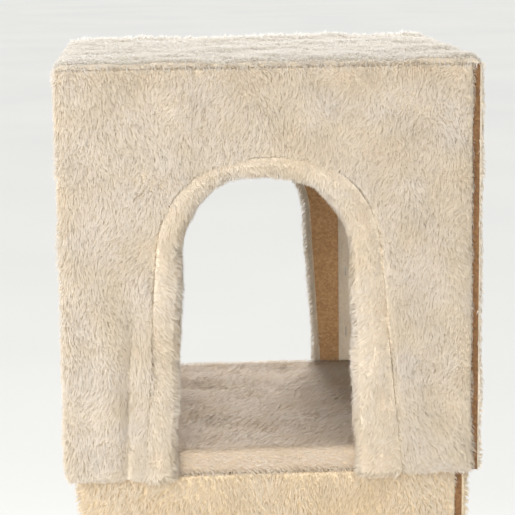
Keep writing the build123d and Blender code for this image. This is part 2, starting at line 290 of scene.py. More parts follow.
def paint_sisal(name):
    """Twisted sisal: slanting strands along each turn, and pale and brown fibres."""
    p = Paint(name)
    run = p.add("UVMap", uv_map="Rope").outputs["UV"]
    parts = p.add("SeparateXYZ", {0: run})
    slant = p.math("ADD", p.math("MULTIPLY", parts.outputs[0], 190.0),
                   p.math("MULTIPLY", parts.outputs[1], 3.0))
    strand = p.math("ABSOLUTE", p.math("SINE", p.math("MULTIPLY", slant, math.pi), 0.0), 0.0)
    fibre = p.noise(1.0, 3.0, 0.7, p.add("Mapping", {"Vector": run, "Scale": (300, 60, 1)})
                    .outputs[0])
    tone = p.noise(45.0, 3.0, 0.6)
    colour = p.ramp(fibre, [(0.2, (160, 130, 88)), (0.5, (200, 172, 128)),
                            (0.85, (226, 204, 164))])
    # Painted shade: the colour darkened in the grooves between the strands.
    colour = p.shade(colour, p.spread(strand, 0.0, 0.5, 0.55, 1.0))
    colour = p.shade(colour, p.spread(tone, 0.3, 0.7, 0.86, 1.08))
    height = p.math("ADD", strand, p.math("MULTIPLY", fibre, 0.4))
    return p.finish(p.surface(colour, p.bump(height, 0.0012), 0.82, sheen=0.15))


def paint_plastic(name, colour_a, colour_b, rough, grain):
    """Moulded plastic or rubber with a fine texture and scuffs."""
    p = Paint(name)
    scuff = p.noise(60.0, 5.0, 0.65)
    colour = p.ramp(scuff, [(0.35, colour_a), (0.75, colour_b)])
    fine = p.noise(grain, 2.0, 0.5)
    return p.finish(p.surface(colour, p.bump(fine, 0.0002), p.spread(scuff, 0.3, 0.7,
                                                                     rough - 0.1, rough + 0.1)))


def paint_zinc(name):
    """Zinc plating, with a faint yellow bloom and fine scratches."""
    p = Paint(name)
    bloom = p.noise(180.0, 4.0, 0.6)
    scratch = p.noise(900.0, 2.0, 0.5, p.place((1, 1, 8)))
    colour = p.ramp(bloom, [(0.3, (176, 178, 182)), (0.7, (206, 202, 190))])
    rough = p.spread(scratch, 0.3, 0.7, 0.28, 0.45)
    return p.finish(p.surface(colour, p.bump(scratch, 0.0001), rough, Metallic=1.0))


def paint_stage(name):
    """The pale floor under the object, with the faintest unevenness."""
    p = Paint(name)
    cloud = p.noise(0.6, 2.0, 0.5)
    colour = p.ramp(cloud, [(0.3, (238, 239, 237)), (0.7, (243, 243, 241))])
    return p.finish(p.surface(colour, roughness=0.9, specular=0.1))


# ---------------------------------------------------------------- shapes

def waves(points, size, seed, stretch=(1.0, 1.0, 1.0), count=14):
    """Smooth noise at points, round 0 with a spread of 1, with features of about that size."""
    rng = np.random.default_rng(seed)
    way = rng.normal(size=(count, 3))
    way /= np.linalg.norm(way, axis=1)[:, None]
    way *= (math.pi / size) * rng.uniform(0.55, 1.45, (count, 1)) / np.array(stretch)
    phase = rng.uniform(0, 2 * math.pi, count)
    return np.sin(points @ way.T + phase).sum(axis=-1) * math.sqrt(2 / count)


def unit(vectors):
    return vectors / np.maximum(np.linalg.norm(vectors, axis=-1, keepdims=True), 1e-12)


def rounded(corners, radii, steps=6):
    """A line through 2-D corners, with an arc of the given radius at each inner one."""
    corners = [np.array(c, float) for c in corners]
    line = [corners[0]]
    for before, here, after, radius in zip(corners, corners[1:], corners[2:], radii):
        a, b = unit(before - here), unit(after - here)
        half = math.acos(max(-1.0, min(1.0, float(a @ b)))) / 2
        reach = min(radius / math.tan(half), 0.49 * np.linalg.norm(before - here),
                    0.49 * np.linalg.norm(after - here))
        for step in range(steps + 1):
            t = step / steps
            start, end = here + a * reach, here + b * reach
            line.append((1 - t) ** 2 * start + 2 * t * (1 - t) * here + t * t * end)
    line.append(corners[-1])
    return np.array(line)


def even(line, step):
    """The line with extra points, so that none are further apart than step."""
    out = [line[0]]
    for a, b in zip(line, line[1:]):
        n = max(1, math.ceil(np.linalg.norm(b - a) / step))
        out += [a + (b - a) * k / n for k in range(1, n + 1)]
    return np.array(out)


def far_along(line):
    """How far along a line each of its points is."""
    return np.concatenate(([0], np.cumsum(np.linalg.norm(np.diff(line, axis=0), axis=1))))


def outward(line):
    """The unit normals to the left of a 2-D line."""
    along = unit(np.gradient(line, axis=0))
    return np.stack((-along[:, 1], along[:, 0]), axis=1)


def doorway(door, count=121):
    """A doorway's cut edge as (x, z), from its left foot over the crown to its right foot."""
    legs = np.linspace(0, 1, 32)[:-1]
    left = np.stack((-(door.half_sill + (door.half_spring - door.half_sill) * legs),
                     door.spring * legs), axis=1)
    turn = np.linspace(math.pi, 0, 81)
    bend = 2 / CROWN_POWER
    crown = np.stack((
        np.sign(np.cos(turn)) * np.abs(np.cos(turn)) ** bend * door.half_spring,
        door.spring + door.rise * np.abs(np.sin(turn)) ** bend), axis=1)
    line = np.concatenate((left, crown, left[::-1] * (-1, 1)))
    length = far_along(line)
    spots = np.linspace(0, length[-1], count)
    line = np.stack([np.interp(spots, length, line[:, k]) for k in (0, 1)], axis=1)
    return line + (door.x, 0)


def grid_faces(rows, columns, start=0, loop=False):
    """Quads over a grid of points, numbered row by row."""
    last = rows if loop else rows - 1
    i, j = np.meshgrid(np.arange(last), np.arange(columns - 1), indexing="ij")
    k = (i + 1) % rows
    quads = np.stack((i * columns + j, i * columns + j + 1, k * columns + j + 1,
                      k * columns + j), axis=-1)
    return quads.reshape(-1, 4) + start


def smooth_mesh(name, points, faces):
    mesh = bpy.data.meshes.new(name)
    mesh.from_pydata(points.reshape(-1, 3).tolist(), [], faces)
    mesh.polygons.foreach_set("use_smooth", np.ones(len(faces), bool))
    mesh.update()
    return mesh


def link(name, mesh, material, body="root"):
    piece = bpy.data.objects.new(name, mesh)
    bpy.context.collection.objects.link(piece)
    mesh.materials.append(material)
    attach(piece, body)
    return piece


class Skin:
    """A closed shell between an outer and an inner grid of points, and where its pile grows."""

    def __init__(self, outer, inner, loop=False):
        rows, columns = outer.shape[:2]
        size = rows * columns
        faces = [grid_faces(rows, columns, 0, loop),
                 grid_faces(rows, columns, size, loop)[:, ::-1]]
        index = np.arange(size).reshape(rows, columns)
        if loop:
            rims = [np.append(index[:, 0], index[0, 0]),
                    np.append(index[:, -1], index[0, -1])[::-1]]
        else:
            rims = [np.concatenate((index[:, 0], index[-1, 1:], index[-2::-1, -1],
                                    index[0, -2::-1]))]
        for rim in rims:
            faces.append(np.stack((rim[:-1], rim[1:], rim[1:] + size, rim[:-1] + size), axis=1))
        self.points = np.concatenate((outer.reshape(-1, 3), inner.reshape(-1, 3)))
        self.faces = np.concatenate(faces)
        self.furry = np.ones(len(self.faces), bool)
        self.furry[len(faces[0]):len(faces[0]) + len(faces[1])] = False
        a, b, c, d = self.points[self.faces.T]
        inside = (np.einsum("ij,ij->i", a, np.cross(b, c)).sum()
                  + np.einsum("ij,ij->i", a, np.cross(c, d)).sum())
        if inside < 0:
            self.faces = self.faces[:, ::-1]

    def normals(self):
        """Smooth normals at the points, from the furry faces round them."""
        quads = self.faces[self.furry]
        corners = self.points[quads]
        flat = np.cross(corners[:, 2] - corners[:, 0], corners[:, 3] - corners[:, 1])
        total = np.zeros_like(self.points)
        for k in range(4):
            np.add.at(total, quads[:, k], flat)
        return unit(total)

    def build(self, name, slot, material):
        return link(name, smooth_mesh(name, self.points, self.faces.tolist()), material)

    def roots(self, density, seed):
        """Points and normals spread over the furry faces, so many to the square metre."""
        quads = self.faces[self.furry]
        triangles = np.stack((quads[:, [0, 1, 2]], quads[:, [0, 2, 3]]), axis=1).reshape(-1, 3)
        corners = self.points[triangles]
        area = np.linalg.norm(np.cross(corners[:, 1] - corners[:, 0],
                                       corners[:, 2] - corners[:, 0]), axis=1) / 2
        total = np.cumsum(area)
        count = int(total[-1] * density)
        rng = np.random.default_rng(seed)
        spots = (np.arange(count) + rng.random(count)) / count * total[-1]
        chosen = np.minimum(np.searchsorted(total, spots), len(area) - 1)
        u, v = rng.random((2, count))
        flip = u + v > 1
        u, v = np.where(flip, 1 - u, u)[:, None], np.where(flip, 1 - v, v)[:, None]
        normals = self.normals()[triangles[chosen]]
        corners = corners[chosen]
        blend = [1 - u - v, u, v]
        return (sum(corners[:, k] * blend[k] for k in range(3)),
                unit(sum(normals[:, k] * blend[k] for k in range(3))))


def nearest(points, line):
    """Each point's distance in X and Z from a line, and the way from the line to it."""
    flat = points[:, [0, 2]]
    gap = np.full(len(flat), 1.0)
    way = np.zeros_like(points)
    for first in range(0, len(flat), 20000):
        part = flat[first:first + 20000]
        apart = part[:, None, :] - line[None]
        far = np.linalg.norm(apart, axis=-1)
        k = far.argmin(axis=1)
        row = np.arange(len(part))
        gap[first:first + 20000] = far[row, k]
        way[first:first + 20000, [0, 2]] = apart[row, k]
    return gap, unit(way)


def grow(name, slot, material, points, normals, comb, length, width, lean,
         seed, tufts=0.0011, tuft_size=0.005):
    """Pile: one curved, tapered blade for each root, bending from its normal towards comb.

    Length, width and lean are one number, or one for each root.
    """
    rng = np.random.default_rng(seed)
    count = len(points)
    comb = comb - (comb * normals).sum(1)[:, None] * normals
    comb = unit(comb + 1e-6)
    across = np.cross(normals, comb)
    swing = rng.normal(0, 0.17, count)[:, None]
    comb = unit(comb * np.cos(swing) + across * np.sin(swing))
    across = np.cross(normals, comb)
    lean = np.clip(lean + rng.normal(0, 0.09, count), 0.02, 1.45)[:, None]
    length = (length * rng.uniform(0.8, 1.1, count))[:, None]
    early = normals * np.cos(lean * 0.55) + comb * np.sin(lean * 0.55)
    late = normals * np.cos(lean * 1.2) + comb * np.sin(lean * 1.2)
    gather = (across * waves(points, tuft_size, seed + 1)[:, None]
              + comb * waves(points, tuft_size, seed + 2)[:, None]) * tufts
    start = points - normals * 0.0008
    bend = start + early * length * 0.5 + gather * 0.35
    end = bend + late * length * 0.5 + gather * 0.65
    roll = rng.uniform(-0.75, 0.75, count)[:, None]
    side = (across * np.cos(roll) + normals * np.sin(roll)) * (
        width * rng.uniform(0.7, 1.25, count))[:, None] / 2
    corners = np.stack((start + side, start - side, bend - side * 0.85, bend + side * 0.85,
                        end), axis=1)
    first = np.arange(count)[:, None] * 5
    loops = (first + np.array([0, 1, 2, 3, 3, 2, 4])).ravel()
    mesh = bpy.data.meshes.new(name)
    mesh.vertices.add(count * 5)
    mesh.vertices.foreach_set("co", corners.astype(np.float32).ravel())
    mesh.loops.add(count * 7)
    mesh.loops.foreach_set("vertex_index", loops.astype(np.int32))
    mesh.polygons.add(count * 2)
    starts = (np.arange(count)[:, None] * 7 + np.array([0, 4])).ravel()
    mesh.polygons.foreach_set("loop_start", starts.astype(np.int32))
    mesh.polygons.foreach_set("use_smooth", np.ones(count * 2, bool))
    columns = math.ceil(math.sqrt(count))
    cell = np.stack((np.arange(count) % columns, np.arange(count) // columns), axis=1)
    in_cell = np.array([(0.9, 0.1), (0.1, 0.1), (0.1, 0.5), (0.9, 0.5), (0.9, 0.5),
                        (0.1, 0.5), (0.5, 0.95)])
    where = (cell[:, None, :] + in_cell[None]) / columns
    layer = mesh.uv_layers.new(name="OFBake")
    layer.uv.foreach_set("vector", where.astype(np.float32).ravel())
    tip = np.tile(np.array([0.0, 0.0, 0.5, 0.5, 1.0]), count)
    own = np.repeat(rng.random(count), 5)
    for attribute, values in (("tip", tip), ("own", own)):
        mesh.attributes.new(attribute, "FLOAT", "POINT").data.foreach_set(
            "value", values.astype(np.float32))
    mesh.update()
    face = unit(normals * np.sin(lean) - comb * np.cos(lean))
    soft = unit(normals + face * 0.24 + rng.normal(0, 0.05, (count, 3)))
    mesh.normals_split_custom_set_from_vertices(np.repeat(soft, 5, axis=0).tolist())
    return link(name, mesh, material)


def flare(points, normals, low, high, reach=0.014, amount=0.6):
    """The normals turned outwards within reach of a box's faces; None leaves a face alone."""
    push = np.zeros_like(points)
    for k in range(3):
        if low[k] is not None:
            push[:, k] -= np.clip(1 - (points[:, k] - low[k]) / reach, 0, 1)
        if high[k] is not None:
            push[:, k] += np.clip(1 - (high[k] - points[:, k]) / reach, 0, 1)
    return unit(normals + push * amount)


def crown(distance, radius, height):
    """The height at a distance from a rounded edge."""
    t = np.clip(1 - distance / radius, 0, 1)
    return height * np.sqrt(1 - t * t * 0.96)


def edge_steps(count, finer=1.7):
    """Steps from 0 to 1, closer together at both ends."""
    t = np.linspace(-1, 1, count)
    return (np.sign(t) * (1 - (1 - np.abs(t)) ** finer) + 1) / 2


# ---------------------------------------------------------------- plush colours

cream_pile = paint_pile("cream_pile", (224, 210, 189), (236, 227, 213), (243, 237, 228),
                        (233, 220, 197))
# The roof's copy of the cream pile, painted greyer: painted light for how the light falls on the
# roof.
painted_light_top_pile = paint_pile("painted_light_top_pile", (219, 213, 203), (227, 223, 215), (233, 230, 225),
                      (225, 220, 211))
tan_pile = paint_pile("tan_pile", (222, 203, 170), (234, 222, 201), (241, 231, 216),
                      (232, 215, 184))
# The floor's copies of the cream pile and backing, painted darker and greyer: painted shade inside
# the cabins.
floor_pile = paint_pile("floor_pile", (214, 198, 175), (227, 215, 200), (235, 226, 215),
                        (216, 198, 172), patches=22.0, glow=0.35)
cream_back = paint_backing("cream_backing", (218, 202, 178), (234, 223, 205))
tan_back = paint_backing("tan_backing", (218, 196, 160), (233, 216, 188))
painted_shade_floor_back = paint_backing("floor_backing", (206, 184, 156), (222, 204, 180))
thread = paint_thread("seam_thread")
fleece = paint_fleece("fleece")
sisal = paint_sisal("sisal")


def seam_reach(cabin, end, line):
    """How far the seam is from the cut edge, at each point of a doorway's outline."""
    door = getattr(cabin, end)
    reach = np.full(len(line), BAND)
    if cabin.name == "upper" and end == "front":
        top = door.spring + door.rise
        high = np.clip((line[:, 1] - door.spring * 0.9) / (top - door.spring * 0.9), 0, 1)
        reach -= 0.008 * high ** 1.5
        right = np.clip((line[:, 0] - door.x) / 0.07, 0, 1)
        low = np.clip(1 - line[:, 1] / door.spring, 0, 1)
        reach += 0.003 * low + right * (0.003 + 0.006 * low ** 1.5)
    return reach


def plump(cabin, end, x, z):
    """How much thicker the roll's right leg is in the upper front doorway, most at its foot."""
    if cabin.name == "lower" or end == "rear":
        return 0 * z
    door = cabin.front
    return np.clip((x - door.x) / 0.07, 0, 1) * (0.002 + 0.0035 * np.clip(
        1 - z / door.spring, 0, 1))


def crease_x(z):
    """Where the crease left of the upper front doorway is, at a height."""
    return CREASE_LOW_X + (CREASE_HIGH_X - CREASE_LOW_X) * np.clip(z / CREASE_TOP, 0, 1) ** 2


def bulge(cabin, z):
    """How much further the lower cabin's plush stands out where it is squeezed at its top."""
    if cabin.name == "upper":
        return 0 * z
    return 0.0055 * np.exp(-((cabin.height - z) / 0.03) ** 2)


def lumps(plan, seed, amount=0.0011):
    """Soft unevenness of stretched plush, with long folds up and down."""
    return amount * (0.6 * waves(plan, 0.035, seed) + 0.6 * waves(
        plan, 0.022, seed + 9, (1.0, 1.0, 4.5)))


def end_cover(cabin, end):
    """Plush on the front or rear wall, round its doorway."""
    out = -1 if end == "front" else 1
    line = doorway(getattr(cabin, end))
    normal = outward(line)
    inner = line + normal * seam_reach(cabin, end, line)[:, None]
    left = -cabin.width / 2 - PILE + LOOSE
    low_left = left - float(bulge(cabin, cabin.height))
    right = -left if end == "rear" else cabin.width / 2 - SIDE_GAP - 0.003
    right_rim = RIM if end == "rear" else 0.004
    top = cabin.height
    tilt = np.arctan2(normal[:, 1], normal[:, 0])
    first = int(np.argmax(tilt < math.radians(135)))
    last = len(line) - int(np.argmax(tilt[::-1] > math.radians(45)))
    count = len(line)
    length = far_along(inner)

    def run(a, b, start, stop):
        t = (length[start:stop + 1] - length[start]) / (length[stop] - length[start])
        return np.array(a) + (np.array(b) - np.array(a)) * t[:, None]

    outer = np.concatenate((run((left, 0), (left, top), 0, first),
                            run((left, top), (right, top), first, last)[1:],
                            run((right, top), (right, 0), last, count - 1)[1:]))
    inner[:, 1] = np.maximum(inner[:, 1], 0)
    inner[0, 1] = inner[-1, 1] = 0
    t = edge_steps(34)[None, :, None]
    plan = inner[:, None, :] * (1 - t) + outer[:, None, :] * t
    share = np.clip((plan[..., 0] + cabin.width / 2 - 0.03) / -0.04, 0, 1)
    plan[..., 0] -= share * bulge(cabin, plan[..., 1])
    x, z = plan[..., 0], plan[..., 1]
    from_seam = np.linalg.norm(plan - inner[:, None, :], axis=-1)
    height = END_SKIN + lumps(np.stack((x, z * 0, z), -1), 11 + 2 * out, 0.0010)
    if cabin.name == "upper" and end == "front":
        fold = np.clip((CREASE_TOP - z) / 0.05, 0, 1)
        fold_x = crease_x(z)
        height -= 0.0036 * fold * np.exp(-((x - fold_x) / 0.006) ** 2)
        height += 0.0014 * fold * (np.exp(-((x - fold_x - 0.017) / 0.010) ** 2)
                                   + np.exp(-((x - fold_x + 0.019) / 0.011) ** 2))
    height = np.maximum(height, 0.0008)
    world = np.stack((x, x * 0, z + cabin.lift), axis=-1).reshape(-1, 3)
    parted = parting(cabin, end, world).reshape(x.shape)
    groove = crown(from_seam + 0.0006, 0.0025, height)
    height = groove * parted + height * (1 - parted)
    for gap, radius in ((x - left + share * bulge(cabin, z), RIM), (right - x, right_rim),
                        (top - z, 0.002), (z, 0.006)):
        height = crown(gap, radius, height)
    face = out * cabin.depth / 2
    shape = [np.stack((x, face + out * h, z + cabin.lift), axis=-1)
             for h in (height, np.zeros_like(height))]
    skin = Skin(*shape)
    low = (low_left, None, cabin.lift)
    high = (right, None, cabin.lift + top if cabin.name == "upper" else None)
    a = plan[:-1, :-1] - plan[1:, 1:]
    b = plan[:-1, 1:] - plan[1:, :-1]
    area = np.abs(a[..., 0] * b[..., 1] - a[..., 1] * b[..., 0]).sum() / 2
    return skin, low, high, (right - left, top), float(area)


def side_cover(cabin, side):
    """Plush on the left or right wall."""
    wall = side * cabin.width / 2
    front = -cabin.depth / 2 + (0.001 if side > 0 else 0)
    rear = cabin.depth / 2
    y, z = np.meshgrid(front + (rear - front) * edge_steps(44),
                       cabin.height * edge_steps(42), indexing="ij")
    height = (SKIN if side < 0 else 0.6 * SKIN) + 0.0008
    height = height + lumps(np.stack((y, z * 0, z), -1), 31 + side, 0.0008)
    height = height + (bulge(cabin, z) if side < 0 else 0)
    for gap, radius in ((z, 0.006), (cabin.height - z, 0.004), (y - front, 0.005),
                        (rear - y, 0.002)):
        height = crown(gap, radius, height)
    shape = [np.stack((wall + side * h, y, z + cabin.lift), axis=-1)
             for h in (height, np.zeros_like(height))]
    low = (None, front if side > 0 else None, cabin.lift)
    high = (None, None, cabin.lift + cabin.height if cabin.name == "upper" else None)
    return Skin(*shape), low, high, (rear - front, cabin.height)


def top_cover(cabin):
    """Plush on the roof, rounded over its four edges."""
    half_x = cabin.width / 2 + PILE - LOOSE
    half_y = cabin.depth / 2 + PILE - LOOSE
    right = half_x - 0.0045
    x, y = np.meshgrid(-half_x + (half_x + right) * edge_steps(60),
                       half_y * (2 * edge_steps(56) - 1), indexing="ij")
    height = SKIN + 0.001 + lumps(np.stack((x, y, y * 0), -1), 51, 0.0008)
    for gap in (x + half_x, right - x, y + half_y, half_y - y):
        height = crown(gap, 0.005, height)
    bottom = cabin.lift + cabin.height
    shape = [np.stack((x, y, bottom + h), axis=-1) for h in (height, np.zeros_like(height))]
    return (Skin(*shape), (-half_x, -half_y, None), (None, half_y, None),
            (half_x + right, 2 * half_y))


def binding(cabin, end):
    """The roll of plush round a doorway: over the wall's face, and through its thickness."""
    out = -1 if end == "front" else 1
    line = doorway(getattr(cabin, end), 141)
    normal = outward(line)
    reach = seam_reach(cabin, end, line)
    spots = np.stack((line[:, 0], line[:, 0] * 0, line[:, 1] + cabin.lift), axis=-1)
    parted = parting(cabin, end, spots)
    section = rounded([(1.0, 0.0022), (0.975, 0.0044), (0.40, 0.0066), (-0.0048, 0.0062),
                       (-0.0048, -0.0115), (-0.0005, -0.0145)],
                      [0.001, 0.02, 0.009, 0.004], 7)
    outer_rows, inner_rows = [], []
    face = out * cabin.depth / 2
    lump = waves(np.stack((line[:, 0], line[:, 0] * 0, line[:, 1]), -1), 0.03, 71 + out)
    extra = plump(cabin, end, line[:, 0], line[:, 1])
    for k, (spot, way) in enumerate(zip(line, normal)):
        a = np.where(section[:, 0] > 0, section[:, 0] * reach[k], section[:, 0])
        b = section[:, 1] + np.where(section[:, 1] > 0.004, 0.0008 * lump[k], 0)
        b += np.where(section[:, 0] > 0.6, (1 - parted[k]) * (END_SKIN - b), 0)
        wide = np.where(a < 0, a - (0.0008 * lump[k] + extra[k]) * (b > -0.012), a)
        ring = spot + way * wide[:, None]
        outer_rows.append(np.stack((ring[:, 0], face + out * b, ring[:, 1] + cabin.lift), -1))
        flat = np.where(b > 0, np.maximum(a, 0), 0)
        under = spot + way * flat[:, None]
        inner_rows.append(np.stack((under[:, 0], face + out * np.minimum(b, 0),
                                    under[:, 1] + cabin.lift), -1))
    outer, inner = np.array(outer_rows), np.array(inner_rows)
    for grid in (outer, inner):
        grid[..., 2] = np.maximum(grid[..., 2], cabin.lift + 0.0005)
    length = float(np.linalg.norm(np.diff(line, axis=0), axis=1).sum())
    return Skin(outer, inner), length


def floor_cover(cabin):
    """Plush on the floor, turned down over the floor's edge in both doorways."""
    depth = cabin.depth / 2 - BOARD
    half = cabin.width / 2 - BOARD - 0.0005
    level = BOARD + FLOOR_SKIN
    profile = rounded([(-depth - 0.0055, 0.0015), (-depth - 0.0055, level + 0.0015),
                       (-depth + 0.012, level), (depth - 0.012, level),
                       (depth + 0.0055, level + 0.0015), (depth + 0.0055, 0.0015)],
                      [0.007, 0.012, 0.012, 0.007], 6)
    profile = even(profile, 0.009)
    under = profile - outward(profile) * 0.0026
    rows = []
    for y in profile[:, 0]:
        end = "front" if y < 0 else "rear"
        door = getattr(cabin, end)
        narrow = door.half_sill - SILL_GAP
        if abs(y) > depth + 0.0002:
            squeezed = float(plump(cabin, end, door.x + narrow, 0.0))
            rows.append((door.x - narrow, door.x + narrow - squeezed))
        else:
            rows.append((-half, half))
    x = np.array([a + (b - a) * edge_steps(58) for a, b in rows])
    plan = np.stack((x, np.repeat(profile[:, :1], x.shape[1], 1), x * 0), -1)
    lift = 0.0004 * waves(plan, 0.03, 91) + 0.0002 * waves(plan, 0.012, 92, (2.5, 1, 1))
    outer_yz = profile[:, None, :] + outward(profile)[:, None, :] * lift[..., None]
    shape = [np.stack((x, yz[..., 0], yz[..., 1] + cabin.lift), axis=-1)
             for yz in (outer_yz, np.repeat(under[:, None, :], x.shape[1], 1))]
    return Skin(*shape), (2 * half, 2 * depth)


def lining(cabin, side):
    """Fleece on a side wall, lapped on to the front and rear boards."""
    wall = side * (cabin.width / 2 - BOARD)
    depth = cabin.depth / 2 - BOARD
    edge = DOORWAY_X + side * cabin.lining
    inset = 0.0003
    path = rounded([(edge, -depth + inset), (wall - side * inset, -depth + inset),
                    (wall - side * inset, depth - inset), (edge, depth - inset)],
                   [0.006, 0.006], 5)
    path = even(path, 0.012)
    way = outward(path) * side
    low, high = BOARD + 0.010, cabin.height - BOARD - 0.0005
    levels = low + (high - low) * edge_steps(30)
    plan = np.stack(np.broadcast_arrays(path[:, None, 0], path[:, None, 1], levels[None]), -1)
    ripple = 0.0005 * waves(plan, 0.03, 111)
    thick = 0.0020 + np.maximum(ripple, -0.0008)
    outer = plan.copy()
    outer[..., :2] += way[:, None, :] * thick[..., None]
    shape = [grid + (0, 0, cabin.lift) for grid in (outer, plan)]
    length = float(np.linalg.norm(np.diff(path, axis=0), axis=1).sum())
    return Skin(*shape), (length, high - low)


def base_cover():
    """Plush over the base board, down its edges and under as a hem."""
    angles = np.linspace(0, 2 * math.pi, 4 * 30, endpoint=False)
    square = np.stack((np.cos(angles), np.sin(angles)), axis=1)
    square /= np.abs(square).max(axis=1)[:, None]
    top = BASE_TOP - BASE_BOTTOM
    profile = rounded([(0.004, top + 0.0050), (BASE_HALF + 0.0045, top + 0.0050),
                       (BASE_HALF + 0.0045, -0.0022), (BASE_HALF - HEM, -0.0022)],
                      [0.008, 0.004], 6)
    profile = even(profile, 0.010)
    under = rounded([(0.004, top + 0.0004), (BASE_HALF + 0.0004, top + 0.0004),
                     (BASE_HALF + 0.0004, -0.0003), (BASE_HALF - HEM, -0.0003)],
                    [0.001, 0.0005], 6)
    under = even(under, 0.010)
    share = [far_along(p) for p in (profile, under)]
    spots = share[0] / share[0][-1] * share[1][-1]
    under = np.stack([np.interp(spots, share[1], under[:, k]) for k in (0, 1)], axis=1)
    grids = []
    for line in (profile, under):
        reach = line[:, 0][None, :]
        corner = np.clip(reach / BASE_HALF, 0, 1) * BASE_CORNER
        core = reach - corner
        xy = square[:, None, :] * reach[..., None]
        over = np.maximum(np.abs(xy) - core[..., None], 0)
        far = np.linalg.norm(over, axis=-1, keepdims=True)
        pull = np.minimum(1.0, corner[..., None] / np.maximum(far, 1e-9))
        xy = np.sign(xy) * (np.minimum(np.abs(xy), core[..., None]) + over * pull)
        z = np.broadcast_to(line[:, 1][None, :], xy.shape[:2])
        grids.append(np.stack((xy[..., 0], xy[..., 1], z + BASE_BOTTOM), axis=-1))
    grids[0][..., 2] += np.where(grids[0][..., 2] > BASE_TOP + 0.004,
                                 0.0008 * waves(grids[0], 0.04, 131), 0)
    return Skin(*grids, loop=True)


def rope(name, x, y, low, high):
    """Sisal rope wound round a post, each turn touching the next."""
    turns = round((high - low) / ROPE)
    steps = 56
    centre_r = TUBE_R + ROPE / 2 - 0.0001
    t = np.arange(turns * steps + 1) / steps
    turn = 2 * math.pi * t
    z = np.clip(low + ROPE * t, low + ROPE / 2, high - ROPE / 2)
    about = np.linspace(0, 2 * math.pi, 9)[:-1]
    wobble = 1 + 0.03 * np.sin(turn * 7.3) + 0.02 * np.sin(turn * 17.1)
    radius = ROPE / 2 * wobble[:, None]
    r = centre_r + radius * np.cos(about)[None]
    points = np.stack((x + r * np.cos(turn)[:, None], y + r * np.sin(turn)[:, None],
                       z[:, None] + radius * np.sin(about)[None]), axis=-1)
    rows, columns = points.shape[:2]
    i, j = np.meshgrid(np.arange(rows - 1), np.arange(columns), indexing="ij")
    k = (j + 1) % columns
    quads = np.stack((i * columns + j, (i + 1) * columns + j, (i + 1) * columns + k,
                      i * columns + k), axis=-1).reshape(-1, 4)
    ends = [list(range(columns))[::-1], list(range((rows - 1) * columns, rows * columns))]
    mesh = smooth_mesh(name, points, quads.tolist() + ends)
    metre = 2 * math.pi * centre_r / steps
    u0, v0 = (i * metre).ravel(), (j / columns).ravel()
    du, dv = metre, 1 / columns
    uv = np.stack((np.stack((u0, u0 + du, u0 + du, u0), 1),
                   np.stack((v0, v0, v0 + dv, v0 + dv), 1)), axis=-1).reshape(-1, 2)
    uv = np.concatenate((uv, np.zeros((2 * columns, 2))))
    layer = mesh.uv_layers.new(name="Rope")
    layer.uv.foreach_set("vector", uv.astype(np.float32).ravel())
    return link(name, mesh, sisal)


# ---------------------------------------------------------------- making the plush

def parting(cabin, end, points):
    """How plainly the pile parts along a doorway's seam: 1 is fully, 0 is not at all."""
    if cabin.name == "lower" or end == "rear":
        return np.full(len(points), 0.7)
    z = points[:, 2] - cabin.lift
    left = points[:, 0] < DOORWAY_X
    return np.where(left, np.clip((z - 0.13) / 0.07, 0, 1), np.clip(0.55 + z / 0.25, 0, 1))


def sew(name, cabin, end, seam):
    """The thread along a doorway's seam, dipping a little at each stitch."""
    out = -1 if end == "front" else 1
    height = seam[:, 1] - cabin.lift
    shown = height > 0.004
    if cabin.name == "upper" and end == "front":
        shown &= (seam[:, 0] > DOORWAY_X) | (height > THREAD_FROM)
    line = seam[shown]
    along = unit(np.gradient(line, axis=0))
    side = np.stack((-along[:, 1], along[:, 0]), axis=1)
    far = far_along(line)
    spots = np.arange(0, far[-1], 0.0009)
    line, side = (np.stack([np.interp(spots, far, grid[:, k]) for k in (0, 1)], axis=1)
                  for grid in (line, side))
    dip = 0.0030 - 0.0012 * np.abs(np.cos(spots * math.pi / STITCH)) ** 6
    about = np.linspace(0, 2 * math.pi, 7)[:-1]
    radius = 0.0006
    ring = line[:, None, :] + side[:, None, :] * (radius * np.cos(about))[None, :, None]
    y = out * (cabin.depth / 2 + dip[:, None] + radius * np.sin(about)[None])
    points = np.stack((ring[..., 0], y, ring[..., 1]), axis=-1)
    rows, columns = points.shape[:2]
    quads = grid_faces(columns, rows, 0, loop=True)
    points = points.transpose(1, 0, 2)
    ends = [[k * rows for k in range(columns)], [(k + 1) * rows - 1 for k in range(columns)][::-1]]
    mesh = smooth_mesh(name, points, quads.tolist() + ends)
    shape = bmesh.new()
    shape.from_mesh(mesh)
    bmesh.ops.recalc_face_normals(shape, faces=shape.faces)
    shape.to_mesh(mesh)
    shape.free()
    return link(name, mesh, thread)


def down(points, seed, turn=0.5, size=0.05, across=(1, 0, 0)):
    """Comb directions that run down, and swing to both sides in swirls."""
    swing = turn * waves(points, size, seed) + 0.25 * waves(points, size / 2.6, seed + 5)
    return np.sin(swing)[:, None] * across - np.cos(swing)[:, None] * (0, 0, 1)


